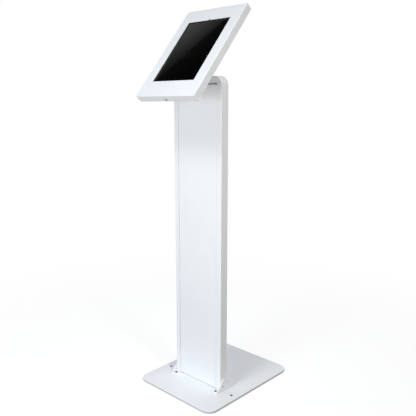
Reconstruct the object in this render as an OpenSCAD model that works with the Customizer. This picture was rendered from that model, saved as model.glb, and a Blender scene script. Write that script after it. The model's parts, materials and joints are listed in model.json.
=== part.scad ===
// Floor-standing security kiosk for a tablet: steel base plate, flat column, tilting locked enclosure.
// Millimetres. Origin at the centre of the base plate's underside, +Z up, the screen faces -Y.

/* [Base plate] */
// Width of the base plate, left to right
base_w = 285; // [270:1:420]
// Depth of the base plate, front to back
base_d = 347; // [300:1:500]
// Thickness of the base plate
base_t = 6; // [4:0.5:12]
// Radius of the base plate's corners in plan
base_corner_r = 28; // [5:1:60]
// Radius of the plate's upper edge
base_edge_r = 1.2; // [0.5:0.1:2]
// Distance from the plate's front edge to the column's front face
column_setback = 101.5; // [60:0.5:160]
// Distance between the two floor anchor holes
anchor_spacing = 244; // [220:1:256]
// Diameter of the floor anchor holes
anchor_d = 7; // [6:0.5:12]
// Distance of the anchor holes behind the column's front face
anchor_back = 7.5; // [-10:0.5:40]

/* [Column] */
// Width of the column
column_w = 175; // [160:1:200]
// Depth of the column, front to back
column_d = 26.5; // [24:0.5:45]
// Height of the column above its shoe
column_h = 852; // [500:1:1100]
// Radius of the two top corners, seen from the front
column_corner_r = 25; // [10:1:45]
// Sheet thickness of the column
column_wall = 2; // [1.2:0.1:3]
// Outside radius of the column's folds
column_fold_r = 1.5; // [0.5:0.1:1.8]
// Height of the closed front strip at the top of the column
top_strip_h = 17; // [10:0.5:40]
// Depth of the turned-in edges beside the front opening
edge_return_d = 12; // [11:0.5:14]

/* [Column cover] */
// Width of the removable front cover
cover_w = 142; // [110:1:146]
// Sheet thickness of the front cover
cover_t = 1.5; // [1:0.1:2]
// Radius of the cover's front edges
cover_edge_r = 1; // [0.3:0.1:1.1]
// Depth of the cover's sides
cover_return_d = 10.5; // [9:0.5:11]
// Seam between the cover and the column on each side
cover_seam = 0.5; // [0.4:0.1:1.5]
// Gap above the cover that lets it be lifted off its studs
lift_gap = 5; // [4.5:0.1:9]
// Height by which the cover lifts
cover_lift = 4.5; // [3:0.1:4.5]
// Number of hanging studs on each side
studs_per_side = 3; // [2:1:5]
// Diameter of a hanging stud
stud_d = 4; // [3:0.1:5]

/* [Shoe] */
// Sheet thickness of the shoe that holds the column
shoe_t = 3; // [2:0.5:4]
// Clearance between the column and the shoe's webs
shoe_clear = 0.3; // [0.1:0.1:0.6]
// Height of a web's peak above the base plate
web_h = 34; // [28:1:60]
// Length of a web in front of the column's front face
web_front = 16.5; // [14:0.5:30]
// Length of a web behind the column's front face
web_back = 66; // [55:1:100]
// Length of a front tab along the column, up to its taper
tab_w = 15; // [13:1:30]

/* [Enclosure] */
// Width of the enclosure
enc_w = 212; // [204:1:260]
// Height of the enclosure along its face
enc_h = 300; // [294:1:360]
// Thickness of the enclosure
enc_t = 20; // [19:0.5:30]
// Sheet thickness of the front cover
lid_t = 1.5; // [1:0.1:2]
// Outside radius of the front cover's folds
lid_fold_r = 2.2; // [2.1:0.1:4]
// Sheet thickness of the rear tray
tray_t = 2; // [1.5:0.1:2.5]
// Clearance between the tray's edge and the front cover's walls
tray_clear = 0.8; // [0.6:0.1:1.5]
// Width of the screen window
window_w = 150; // [120:0.5:156]
// Height of the screen window
window_h = 206.8; // [170:0.2:212]
// Offset of the window's centre up the face
window_up = 2.4; // [0:0.2:5]
// Width of the camera notch in the window's top edge
camera_notch_w = 5; // [3:0.5:8]
// Height of the camera notch above that edge
camera_notch_h = 4; // [3:0.5:6]

/* [Tilt head] */
// Angle of the face from the horizontal at rest
face_angle = 50; // [35:1:80]
// Height of the tilt pivot above the column's top
pivot_rise = 35.4; // [34:0.2:60]
// Distance from the tilt pivot to the enclosure's back
head_reach = 25; // [24:0.5:40]
// Outside width of the neck bracket
neck_w = 70; // [66:1:90]
// Sheet thickness of the neck bracket and of the tilt bracket's ears
neck_t = 3; // [2:0.5:4]
// Width of the ears
ear_w = 24; // [20:0.5:24]
// Diameter of the pivot bolt
pivot_d = 8; // [6:1:10]
// Side of the square fixing plate on the enclosure's back
bracket_side = 120; // [114:1:130]
// Hole spacing of the fixing plate
fixing_pitch = 100; // [75:1:100]

/* [Tablet] */
// Width of the tablet
tablet_w = 169.5; // [160:0.5:176]
// Height of the tablet
tablet_h = 240; // [225:0.5:244]
// Thickness of the tablet
tablet_t = 7.5; // [6:0.1:8.5]
// Travel of the tablet's buttons
button_travel = 0.4; // [0.2:0.1:0.6]

/* [Lock] */
// Distance of the lock's axis behind the enclosure's face
lock_depth = 14; // [12:0.5:14]
// Diameter of the lock's body
lock_body_d = 7; // [6.5:0.1:8.5]
// Diameter of the turning plug
lock_plug_d = 5; // [4.5:0.1:6]

/* [Hidden] */
$fn = 64;
// Gaps: loose around fixed pieces, free between moving pieces, running around pins, touch for screws
fit_gap = 0.15;
move_gap = 0.3;
run_gap = 0.05;
screw_gap = 0.1;
cut = 1;
corner_excess = 0.4;

column_y = -base_d / 2 + column_setback;
column_foot = base_t + shoe_t;
column_top = column_foot + column_h;
column_mid_y = column_y + column_d / 2;
opening_w = cover_w + 2 * cover_seam;
opening_h = column_h - top_strip_h;
cover_foot = 1.2;
cover_h = opening_h - lift_gap - cover_foot;
rail_inset = 6;
stud_y = edge_return_d * 0.55;
stud_first = 60;
stud_pitch = (cover_h - 2 * stud_first) / (studs_per_side - 1);
stud_reach = 2.5;
rivet_d = 3;

web_x = column_w / 2 + shoe_clear;
web_peak_y = 12;
web_peak_r = 4;
web_tail_r = 6.5;
shoe_back = column_d + 2.3;
bend_front = 6;
relief_d = 4.4;
relief_reach = 4;
tail_lift = 1.6;
tab_slit = 0.5;
tab_taper = 24;
shoe_screw_d = 4;
shoe_head_d = 7;
shoe_head_h = 2.2;
tab_screw_x = web_x - shoe_head_d / 2 - 5;
tab_screw_y = -web_front * 0.64;
inner_screw_x = cover_w / 2 - 26;
inner_screw_y = cover_return_d + shoe_head_d / 2 + 1.2;
side_screw_y = 8;
side_screw_rise = 10;
side_nut_d = 8;
side_nut_t = 3.2;
edge_return_foot = side_screw_rise + side_nut_d / 2 + 1;

pivot_z = column_top + pivot_rise;
pivot_w = -enc_t - head_reach;
bracket_t = 2.5;
bracket_flare = 50;
bracket_corner_r = 6;
friction_t = 1.5;
friction_d = 22;
friction_gap = 0.1;
tilt_ear_x = neck_w / 2 - neck_t - friction_t - 2 * friction_gap;
washer_t = 1.6;
washer_d = 16;
bolt_head_h = 5.3;
bolt_head_d = 15;
nut_h = 7.5;
neck_bolt_d = 6;
neck_bolt_x = neck_w / 2 - 13;
neck_head_d = 11;
neck_head_h = 3.3;
neck_nut_d = 11.5;
neck_nut_t = 5;
neck_hole_d = 16;
neck_bore_d = 11;
outlet_rise = 61;
outlet_z = column_foot + outlet_rise;
outlet_hole_d = 20;
outlet_bore_d = 14;
grommet_rim = 2.2;
grommet_lip = 2;

tray_w = enc_w - 2 * lid_t - 2 * tray_clear;
tray_low = -enc_h / 2 + lid_t + tray_clear;
tray_high = enc_h / 2 - lid_t - tray_clear - 0.5;
tray_face = -enc_t + tray_t;
tray_flange_h = 10;
tray_flange_l = enc_h - 24;
tray_hole_v = -bracket_side / 2 - 16;
fixing_screw_d = 4;
fixing_head_d = 7.8;
fixing_head_h = 2.5;
fixing_nut_d = 8;
fixing_nut_t = 2.5;

gasket_t = 1.2;
gasket_edge = 4;
glass_w = -lid_t - gasket_t - move_gap;
glass_t = 1;
glass_rim = 1.2;
tablet_back = glass_w - tablet_t;
tablet_corner_r = 9;
block_wall = 8;
block_leg = 38;
block_clear = 0.5;
block_pad_t = 1.5;
pad_side = 22;
button_out = 0.8;
button_deep = 1.6;
button_w = 2.2;
power_l = 10;
power_u = 25;
volume_l = 9;
volume_v = 62;
volume_pitch = 14;

hinge_r = 3;
hinge_pin_d = 3;
hinge_v = enc_h / 2 - hinge_r;
hinge_w = -enc_t - hinge_r - 0.4;
hinge_u = 70;
hinge_middle_l = 16;
hinge_end_l = 8;
hinge_gap = 0.4;
hinge_leaf_t = 1.9;
hinge_leaf_l = 16;

lock_flange_d = lock_body_d + 2;
lock_flange_t = 1;
lock_body_l = 5;
lock_nut_t = 2.8;
lock_nut_d = lock_body_d + 3;
lock_flat = 3;
lock_tip_l = 6;
catch_gap = 1.5;
catch_w = 24;
catch_top = -6;
catch_v = -enc_h / 2 + lock_body_l + catch_gap;
catch_eye_d = lock_plug_d + 1;
catch_throat = lock_flat + 0.8;
key_slot_w = 1;
key_slot_l = lock_plug_d * 0.66;
key_slot_deep = 4;

// Frame of the column: front face at y = 0, foot at z = 0
module at_column() {
    translate([0, column_y, column_foot]) children();
}

// Frame of the enclosure: origin at the centre of its face, x across, y up the face, z out of the face
module at_face() {
    translate([0, column_mid_y, pivot_z]) rotate([face_angle, 0, 0]) translate([0, 0, -pivot_w]) children();
}

// Frame of the lock: z runs from the bottom wall's outside into the enclosure
module at_lock() {
    at_face() translate([0, -enc_h / 2, -lock_depth]) rotate([-90, 0, 0]) children();
}

// Plate in the XZ plane, thickness along +Y from y0
module front_plate(y0, t) {
    translate([0, y0 + t, 0]) rotate([90, 0, 0]) linear_extrude(t) children();
}

// Plate in the YZ plane, thickness along +X from x0
module side_plate(x0, t) {
    translate([x0, 0, 0]) rotate([90, 0, 90]) linear_extrude(t) children();
}

// Cylinder along X, centred on x0
module cross_rod(d, l, x0 = 0) {
    translate([x0 - l / 2, 0, 0]) rotate([0, 90, 0]) cylinder(d = d, h = l);
}

// Rectangle with rounded corners, centred
module round_rect(w, h, r) {
    square([w - 2 * r, h], center = true);
    square([w, h - 2 * r], center = true);
    for (x = [-1, 1], y = [-1, 1])
        translate([x * (w / 2 - r), y * (h / 2 - r)]) circle(r);
}

// Upright outline with two rounded top corners, foot on the x axis
module arch(w, h, r) {
    translate([-w / 2, 0]) square([w, h - r]);
    translate([-w / 2 + r, 0]) square([w - 2 * r, h]);
    for (x = [-1, 1])
        translate([x * (w / 2 - r), h - r]) circle(r);
}

// Section of a slab's rim, r wide and t high: the upper edge is rounded, and the lower one too if both is set
module rim_section(r, t, edge_r, both) {
    difference() {
        square([r, t]);
        for (s = both ? [0, 1] : [0])
            translate([0, s * t]) mirror([0, s]) translate([r - edge_r, t - edge_r]) difference() {
                square(edge_r + cut);
                circle(edge_r);
            }
    }
}

// Centred slab with a rounded rim: the rim's section runs along each side and turns at each corner
module soft_slab(w, h, t, corner_r, edge_r, both = false) {
    translate([0, 0, t / 2]) cube([w - 2 * corner_r, h - 2 * corner_r, t], center = true);
    for (x = [-1, 1], y = [-1, 1]) translate([x * (w / 2 - corner_r), y * (h / 2 - corner_r), 0])
        rotate_extrude() rim_section(corner_r, t, edge_r, both);
    for (s = [0, 1]) mirror([s, 0, 0]) translate([w / 2 - corner_r, h / 2 - corner_r, 0]) rotate([90, 0, 0])
        linear_extrude(h - 2 * corner_r) rim_section(corner_r, t, edge_r, both);
    for (s = [0, 1]) mirror([0, s, 0]) translate([-w / 2 + corner_r, h / 2 - corner_r, 0]) rotate([90, 0, 90])
        linear_extrude(w - 2 * corner_r) rim_section(corner_r, t, edge_r, both);
}

// Rubber ring in a hole: a groove holds the wall, axis along z, wall from z = 0 to z = wall
module grommet(hole_d, wall, bore_d) {
    lip_r = hole_d / 2 + grommet_rim;
    groove_r = hole_d / 2 - fit_gap;
    rotate_extrude() polygon([
        [bore_d / 2, -grommet_lip], [lip_r, -grommet_lip], [lip_r, 0], [groove_r, 0],
        [groove_r, wall], [lip_r, wall], [lip_r, wall + grommet_lip], [bore_d / 2, wall + grommet_lip]
    ]);
}

// Button-head screw: the head stands on z = 0, the shank runs down
module screw(d, head_d, head_h, l) {
    difference() {
        rotate_extrude() intersection() {
            translate([0, head_h - head_d * 0.7]) circle(r = head_d * 0.7);
            square([head_d / 2, head_h]);
        }
        translate([0, 0, head_h * 0.45]) cylinder(d = d * 0.62, h = head_h, $fn = 6);
    }
    translate([0, 0, -l]) cylinder(d = d, h = l + head_h * 0.3);
}

// Hex or round nut with a clearance bore, standing on z = 0
module nut(d, t, bore, sides) {
    difference() {
        cylinder(d = d, h = t, $fn = sides);
        translate([0, 0, -cut]) cylinder(d = bore + 2 * screw_gap, h = t + 2 * cut);
    }
}

// Positions of the repeated pieces
module each_anchor() {
    for (x = [-1, 1]) translate([x * anchor_spacing / 2, column_y + anchor_back, 0]) children();
}

module each_shoe_screw() {
    for (x = [-1, 1]) {
        translate([x * tab_screw_x, column_y + tab_screw_y, column_foot]) children();
        translate([x * inner_screw_x, column_y + inner_screw_y, column_foot]) children();
    }
}

module each_side_screw() {
    for (s = [0, 1]) mirror([s, 0, 0])
        translate([0, column_y + side_screw_y, column_foot + side_screw_rise]) rotate([0, 90, 0]) children();
}

module each_stud() {
    for (s = [0, 1], i = [0 : studs_per_side - 1]) mirror([s, 0, 0])
        translate([opening_w / 2, stud_y, cover_foot + stud_first + i * stud_pitch]) children();
}

module each_neck_bolt() {
    for (x = [-1, 1]) translate([x * neck_bolt_x, column_mid_y, column_top]) children();
}

module each_fixing() {
    for (x = [-1, 1], y = [-1, 1]) translate([x * fixing_pitch / 2, y * fixing_pitch / 2, 0]) children();
}

module each_hinge() {
    for (x = [-1, 1]) translate([x * hinge_u, hinge_v, hinge_w]) children();
}

module each_corner() {
    for (x = [0, 1], y = [0, 1])
        translate([0, window_up, 0]) mirror([x, 0, 0]) mirror([0, y, 0])
            translate([tablet_w / 2, tablet_h / 2, 0]) children();
}

// Base plate with two floor anchor holes and four tapped holes for the shoe
module base_plate() {
    color("white") difference() {
        soft_slab(base_w, base_d, base_t, base_corner_r, base_edge_r);
        each_anchor() translate([0, 0, -cut]) cylinder(d = anchor_d, h = base_t + 2 * cut);
        each_shoe_screw() translate([0, 0, -column_foot - cut])
            cylinder(d = shoe_screw_d + 2 * screw_gap, h = column_foot + 2 * cut);
    }
}

// Side of the shoe: low in front, peak beside the column, long tail behind
module web_outline() {
    hull() {
        translate([-web_front, 0]) square([1, shoe_t]);
        translate([web_peak_y, web_h - web_peak_r]) circle(web_peak_r, $fn = 32);
        translate([web_back - web_tail_r, web_tail_r]) circle(web_tail_r, $fn = 32);
    }
}

// What a bend of outside radius r takes off the lower outer edge of a folded sheet, along y
module bend_waste(r, l) {
    translate([0, l, 0]) rotate([90, 0, 0]) linear_extrude(l) difference() {
        translate([0, -cut]) square([r + cut, r + cut]);
        translate([0, r]) circle(r);
    }
}

// Folded shoe: floor under the column, a web bent up on each side, two front tabs for screws
module column_shoe() {
    color("white") difference() {
        translate([0, column_y, base_t]) {
            translate([-web_x - shoe_t, 0, 0]) cube([2 * (web_x + shoe_t), shoe_back, shoe_t]);
            for (s = [0, 1]) mirror([s, 0, 0]) {
                side_plate(web_x, shoe_t) difference() {
                    web_outline();
                    translate([shoe_back, -cut]) square([web_back, tail_lift + cut]);
                }
                linear_extrude(shoe_t) polygon([
                    [web_x - tab_slit, 0], [web_x - tab_slit, -web_front], [web_x - tab_w, -web_front],
                    [web_x - tab_w - tab_taper, 0]
                ]);
                translate([web_x - tab_slit - cut, -bend_front, 0])
                    cube([tab_slit + cut + shoe_t, bend_front, shoe_t]);
            }
        }
        for (s = [0, 1]) mirror([s, 0, 0]) translate([web_x, column_y, base_t]) {
            translate([0, -bend_front, 0]) bend_waste(shoe_t, bend_front + shoe_back);
            for (y = [-bend_front, shoe_back])
                translate([0, y, 0]) cross_rod(relief_d, shoe_t + 2 * cut, shoe_t / 2);
            translate([-relief_reach, shoe_back - relief_d / 2, -cut])
                cube([relief_reach, relief_d / 2 + cut, shoe_t + 2 * cut]);
        }
        each_shoe_screw() translate([0, 0, -shoe_t - cut])
            cylinder(d = shoe_screw_d + 2 * screw_gap, h = shoe_t + 2 * cut);
        each_side_screw() translate([0, 0, web_x - cut])
            cylinder(d = shoe_screw_d + 2 * screw_gap, h = shoe_t + 2 * cut);
    }
}

module shoe_screws() {
    color("dimgray") each_shoe_screw() screw(shoe_screw_d, shoe_head_d, shoe_head_h, column_foot - 0.5);
}

module side_screws() {
    reach = shoe_t + shoe_clear + column_wall + side_nut_t;
    color("silver") each_side_screw() translate([0, 0, web_x + shoe_t])
        screw(shoe_screw_d, shoe_head_d, shoe_head_h, reach);
}

module side_nuts() {
    color("silver") each_side_screw() translate([0, 0, column_w / 2 - column_wall - side_nut_t])
        nut(side_nut_d, side_nut_t, shoe_screw_d, 64);
}

// Outside of the column: a slab with rounded top corners and folded rims, cut flat at its foot
module column_body() {
    difference() {
        translate([0, column_d, column_h / 2 - column_corner_r]) rotate([90, 0, 0])
            soft_slab(column_w, column_h + 2 * column_corner_r, column_d,
                column_corner_r, column_fold_r, true);
        translate([-column_w, -column_d, -3 * column_corner_r])
            cube([2 * column_w, 3 * column_d, 3 * column_corner_r]);
    }
}

// The column's outside between two distances behind its front face
module column_slice(y0, y1) {
    intersection() {
        column_body();
        translate([-column_w, y0, -cut]) cube([2 * column_w, y1 - y0, column_h + 2 * cut]);
    }
}

// Back sheet of the column with the outlet for a lead
module column_back() {
    color("white") difference() {
        at_column() column_slice(column_d - column_wall, column_d + cut);
        translate([0, column_y + column_d + cut, outlet_z]) rotate([90, 0, 0])
            cylinder(d = outlet_hole_d, h = column_wall + 2 * cut);
    }
}

// Strip bent over the column's sides and top, welded to the back sheet and the front frame
module column_wrap() {
    color("white") difference() {
        at_column() front_plate(column_wall, column_d - 2 * column_wall) difference() {
            arch(column_w, column_h, column_corner_r);
            translate([0, -cut])
                arch(column_w - 2 * column_wall, column_h - column_wall + cut, column_corner_r - column_wall);
        }
        each_side_screw() translate([0, 0, column_w / 2 - column_wall - cut])
            cylinder(d = shoe_screw_d + 2 * screw_gap, h = column_wall + 2 * cut);
        each_neck_bolt() translate([0, 0, -column_wall - cut])
            cylinder(d = neck_bolt_d + 2 * screw_gap, h = column_wall + 2 * cut);
        translate([0, column_mid_y, column_top - column_wall - cut])
            cylinder(d = neck_hole_d, h = column_wall + 2 * cut);
    }
}

// Front frame of the column: a strip over the opening and two edges turned in beside it
module column_frame() {
    color("white") at_column() difference() {
        union() {
            difference() {
                column_slice(-cut, column_wall);
                translate([-opening_w / 2, -cut, -cut])
                    cube([opening_w, column_wall + 2 * cut, opening_h + cut]);
            }
            for (s = [0, 1]) mirror([s, 0, 0]) translate([opening_w / 2, 0, edge_return_foot])
                cube([column_wall, edge_return_d, opening_h - edge_return_foot]);
        }
        each_stud() translate([-cut, 0, 0]) rotate([0, 90, 0])
            cylinder(d = rivet_d + 2 * screw_gap, h = column_wall + 2 * cut);
    }
}

// Shoulder rivets on the column's turned-in edges, which carry the cover
module cover_studs() {
    reach = cover_seam + cover_t + stud_reach;
    color("silver") at_column() each_stud() rotate([0, 90, 0]) {
        translate([0, 0, -reach]) cylinder(d = stud_d, h = reach);
        cylinder(d = rivet_d, h = column_wall);
        translate([0, 0, column_wall]) cylinder(d = rivet_d + 2, h = 1);
    }
}

// Hook slot of the cover, cut through its side: a stud enters from behind and sits at the top
module hook_slot() {
    slot_w = stud_d + 2 * move_gap;
    side_x = cover_seam + cover_t + cut;
    translate([-side_x, 0, 0]) {
        rotate([0, 90, 0]) cylinder(d = slot_w, h = side_x);
        translate([0, -slot_w / 2, -cover_lift - slot_w / 2]) cube([side_x, slot_w, cover_lift + slot_w / 2]);
        translate([0, -slot_w / 2, -cover_lift - slot_w / 2])
            cube([side_x, cover_return_d - stud_y + slot_w / 2 + cut, slot_w]);
    }
}

// Removable front cover of the column
module column_cover() {
    color("white") at_column() translate([0, cover_t, cover_foot + cover_h / 2]) rotate([90, 0, 0])
        soft_slab(cover_w, cover_h, cover_t, cover_edge_r + corner_excess, cover_edge_r);
}

// Rails behind the cover's sides, which hang on the studs, and a ledge behind its top edge for the fingers
module cover_rails() {
    depth = cover_return_d - cover_t;
    ledge_w = cover_w - 2 * (cover_edge_r + corner_excess);
    color("white") at_column() {
        difference() {
            for (s = [0, 1]) mirror([s, 0, 0])
                translate([cover_w / 2 - cover_t, cover_t, cover_foot + rail_inset])
                    cube([cover_t, depth, cover_h - 2 * rail_inset]);
            each_stud() hook_slot();
        }
        translate([-ledge_w / 2, cover_t, cover_foot + cover_h - cover_t])
            cube([ledge_w, depth, cover_t]);
    }
}

// Rubber rings where a lead can pass: behind the column's foot and in its top
module cable_grommets() {
    color("black") {
        translate([0, column_y + column_d, outlet_z]) rotate([90, 0, 0])
            grommet(outlet_hole_d, column_wall, outlet_bore_d);
        translate([0, column_mid_y, column_top - column_wall])
            grommet(neck_hole_d, column_wall + neck_t, neck_bore_d);
    }
}

// Upright ear with a round top at the pivot, in the YZ plane
module neck_ear() {
    translate([column_mid_y - ear_w / 2, column_top]) square([ear_w, pivot_rise]);
    translate([column_mid_y, pivot_z]) circle(d = ear_w);
}

// Bracket on the column's top with two ears for the pivot bolt
module neck_bracket() {
    color("white") difference() {
        union() {
            translate([-neck_w / 2, column_mid_y - ear_w / 2, column_top]) cube([neck_w, ear_w, neck_t]);
            for (s = [0, 1]) mirror([s, 0, 0]) side_plate(neck_w / 2 - neck_t, neck_t) neck_ear();
        }
        for (s = [0, 1]) mirror([s, 0, 0])
            translate([neck_w / 2 - neck_t, column_mid_y - ear_w / 2 - cut, column_top])
                bend_waste(neck_t, ear_w + 2 * cut);
        translate([0, column_mid_y, pivot_z]) cross_rod(pivot_d + 2 * run_gap, neck_w + 2 * cut);
        each_neck_bolt() translate([0, 0, -cut])
            cylinder(d = neck_bolt_d + 2 * screw_gap, h = neck_t + 2 * cut);
        translate([0, column_mid_y, column_top - cut]) cylinder(d = neck_hole_d, h = neck_t + 2 * cut);
    }
}

module neck_bolts() {
    color("dimgray") each_neck_bolt() translate([0, 0, neck_t])
        screw(neck_bolt_d, neck_head_d, neck_head_h, neck_t + column_wall + neck_nut_t + 1);
}

module neck_nuts() {
    color("silver") each_neck_bolt() translate([0, 0, -column_wall - neck_nut_t])
        nut(neck_nut_d, neck_nut_t, neck_bolt_d, 6);
}

// Hex-head bolt through all four ears
module pivot_bolt() {
    outside = neck_w / 2 + washer_t;
    color("silver") translate([0, column_mid_y, pivot_z]) {
        cross_rod(pivot_d, 2 * outside + nut_h + 2, -(nut_h + 2) / 2);
        translate([outside, 0, 0]) rotate([0, 90, 0]) cylinder(d = bolt_head_d, h = bolt_head_h, $fn = 6);
    }
}

module pivot_washers() {
    color("silver") translate([0, column_mid_y, pivot_z]) for (s = [0, 1]) mirror([s, 0, 0])
        translate([neck_w / 2, 0, 0]) rotate([0, 90, 0]) nut(washer_d, washer_t, pivot_d, 64);
}

module pivot_nut() {
    color("silver") translate([-neck_w / 2 - washer_t, column_mid_y, pivot_z]) rotate([0, -90, 0])
        nut(bolt_head_d, nut_h, pivot_d, 6);
}

// Fibre discs between the ears, which hold the tilt by friction
module friction_discs() {
    color("saddlebrown") translate([0, column_mid_y, pivot_z]) for (s = [0, 1]) mirror([s, 0, 0])
        translate([neck_w / 2 - neck_t - friction_gap - friction_t, 0, 0]) rotate([0, 90, 0])
            nut(friction_d, friction_t, pivot_d, 64);
}

// Ear of the tilt bracket, flared towards its plate, in the plane of face height and depth
module tilt_ear() {
    hull() {
        translate([0, pivot_w]) circle(d = ear_w, $fn = 32);
        translate([-bracket_flare / 2, -enc_t - bracket_t]) square([bracket_flare, bracket_t]);
    }
}

// Square fixing plate with two ears that turn about the pivot bolt
module tilt_bracket() {
    color("white") at_face() difference() {
        union() {
            translate([0, 0, -enc_t - bracket_t]) linear_extrude(bracket_t)
                round_rect(bracket_side, bracket_side, bracket_corner_r);
            for (s = [0, 1]) mirror([s, 0, 0]) side_plate(tilt_ear_x - neck_t, neck_t) tilt_ear();
        }
        translate([0, 0, pivot_w]) cross_rod(pivot_d + 2 * run_gap, neck_w);
        each_fixing() translate([0, 0, -enc_t - bracket_t - cut])
            cylinder(d = fixing_screw_d + 2 * screw_gap, h = bracket_t + 2 * cut);
    }
}

module fixing_screws() {
    color("dimgray") at_face() each_fixing() translate([0, 0, -enc_t - bracket_t]) mirror([0, 0, 1])
        screw(fixing_screw_d, fixing_head_d, fixing_head_h, bracket_t + tray_t + fixing_nut_t);
}

module fixing_nuts() {
    color("silver") at_face() each_fixing() translate([0, 0, tray_face])
        nut(fixing_nut_d, fixing_nut_t, fixing_screw_d, 64);
}

// Catch for the lock: a tongue bent up from the tray with a slot that only the plug's flat side can leave
module lock_catch() {
    difference() {
        translate([-catch_w / 2, catch_v, -enc_t]) cube([catch_w, tray_t, enc_t + catch_top]);
        translate([0, catch_v - cut, -lock_depth]) {
            rotate([-90, 0, 0]) cylinder(d = catch_eye_d, h = tray_t + 2 * cut);
            translate([-catch_throat / 2, 0, 0]) cube([catch_throat, tray_t + 2 * cut, enc_t]);
        }
    }
}

// Rear tray of the enclosure: back plate, side flanges, lock catch and the fixed hinge knuckles
module rear_tray() {
    color("white") at_face() difference() {
        union() {
            difference() {
                translate([-tray_w / 2, tray_low, -enc_t]) cube([tray_w, tray_high - tray_low, tray_t]);
                translate([-catch_w / 2 - 2, tray_low - cut, -enc_t - cut])
                    cube([catch_w + 4, catch_v + tray_t - tray_low + cut, tray_t + 2 * cut]);
            }
            translate([-catch_w / 2, catch_v, -enc_t]) cube([catch_w, tray_t + cut, tray_t]);
            lock_catch();
            for (s = [0, 1]) mirror([s, 0, 0])
                translate([tray_w / 2 - tray_t, -tray_flange_l / 2, -enc_t])
                    cube([tray_t, tray_flange_l, tray_t + tray_flange_h]);
            each_hinge() for (s = [0, 1]) mirror([s, 0, 0]) {
                start = hinge_middle_l / 2 + hinge_gap;
                translate([start, 0, 0]) rotate([0, 90, 0]) cylinder(r = hinge_r, h = hinge_end_l);
                translate([start, -hinge_leaf_l, -hinge_w - enc_t - hinge_leaf_t])
                    cube([hinge_end_l, hinge_leaf_l, hinge_leaf_t]);
            }
        }
        each_hinge()
            cross_rod(hinge_pin_d + 2 * run_gap, hinge_middle_l + 2 * (hinge_end_l + hinge_gap + cut));
        each_fixing() translate([0, 0, -enc_t - cut])
            cylinder(d = fixing_screw_d + 2 * screw_gap, h = tray_t + 2 * cut);
        translate([0, tray_hole_v, -enc_t - cut]) cylinder(d = neck_hole_d, h = tray_t + 2 * cut);
    }
}

module tray_grommet() {
    color("black") at_face() translate([0, tray_hole_v, -enc_t]) grommet(neck_hole_d, tray_t, neck_bore_d);
}

module hinge_pins() {
    color("silver") at_face() each_hinge()
        cross_rod(hinge_pin_d, hinge_middle_l + 2 * (hinge_end_l + hinge_gap));
}

// Front cover: folded face and walls with the screen window, which swings up about the top hinges
module front_cover() {
    color("white") at_face() difference() {
        union() {
            difference() {
                translate([0, 0, -enc_t])
                    soft_slab(enc_w, enc_h, enc_t, lid_fold_r + corner_excess, lid_fold_r);
                translate([0, 0, -enc_t - cut])
                    soft_slab(enc_w - 2 * lid_t, enc_h - 2 * lid_t, enc_t - lid_t + cut,
                        lid_fold_r + corner_excess - lid_t, lid_fold_r - lid_t);
                translate([-window_w / 2, window_up - window_h / 2, -lid_t - cut])
                    cube([window_w, window_h, lid_t + 2 * cut]);
                translate([0, window_up + window_h / 2 + camera_notch_h - camera_notch_w / 2, -lid_t - cut]) {
                    cylinder(d = camera_notch_w, h = lid_t + 2 * cut);
                    translate([-camera_notch_w / 2, -camera_notch_h, 0])
                        cube([camera_notch_w, camera_notch_h, lid_t + 2 * cut]);
                }
                translate([0, -enc_h / 2 - cut, -lock_depth]) rotate([-90, 0, 0])
                    cylinder(d = lock_body_d + 2 * screw_gap, h = lid_t + 2 * cut);
            }
            each_hinge() {
                cross_rod(2 * hinge_r, hinge_middle_l);
                translate([-hinge_middle_l / 2, hinge_r - lid_t, 0])
                    cube([hinge_middle_l, lid_t, -enc_t - hinge_w + cut]);
            }
        }
        each_hinge() cross_rod(hinge_pin_d + 2 * run_gap, hinge_middle_l + 2 * cut);
    }
}

// Foam frame behind the front cover's face, around the window
module front_gasket() {
    color("dimgray") at_face() translate([0, window_up, -lid_t - gasket_t])
        linear_extrude(gasket_t) difference() {
            square([tablet_w - 2 * glass_rim, tablet_h - 2 * glass_rim], center = true);
            square([window_w + 2 * gasket_edge, window_h + 2 * gasket_edge], center = true);
        }
}

// Moulded blocks on the tray that hold the tablet's four corners
module corner_blocks() {
    floor_t = tablet_back - block_pad_t - tray_face;
    wall_h = tablet_back + tablet_t * 0.6 - tray_face;
    side = block_leg + block_wall;
    color("black") at_face() each_corner() translate([-block_leg, -block_leg, tray_face]) difference() {
        cube([side, side, wall_h]);
        translate([-cut, -cut, floor_t])
            cube([block_leg + block_clear + cut, block_leg + block_clear + cut, wall_h]);
        translate([-cut, -cut, -cut]) cube([block_leg - pad_side, block_leg - pad_side, wall_h]);
    }
}

module back_pads() {
    inset = 2;
    color("dimgray") at_face() each_corner()
        translate([-pad_side + inset, -pad_side + inset, tablet_back - block_pad_t])
            cube([pad_side - 2 * inset, pad_side - 2 * inset, block_pad_t]);
}

// Pocket in the tablet's edge for a button of length l, opening along +y
module button_pocket(l) {
    translate([-l / 2 - move_gap, -button_deep - button_travel - move_gap, -button_w / 2 - move_gap])
        cube([l + 2 * move_gap, button_deep + button_travel + move_gap + cut, button_w + 2 * move_gap]);
}

module button(l) {
    translate([-l / 2, -button_deep, -button_w / 2]) cube([l, button_deep + button_out, button_w]);
}

module at_power() {
    at_face() translate([power_u, window_up + tablet_h / 2, tablet_back + tablet_t / 2]) children();
}

module at_volume(v) {
    at_face() translate([tablet_w / 2, window_up + v, tablet_back + tablet_t / 2])
        rotate([0, 0, -90]) children();
}

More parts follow.
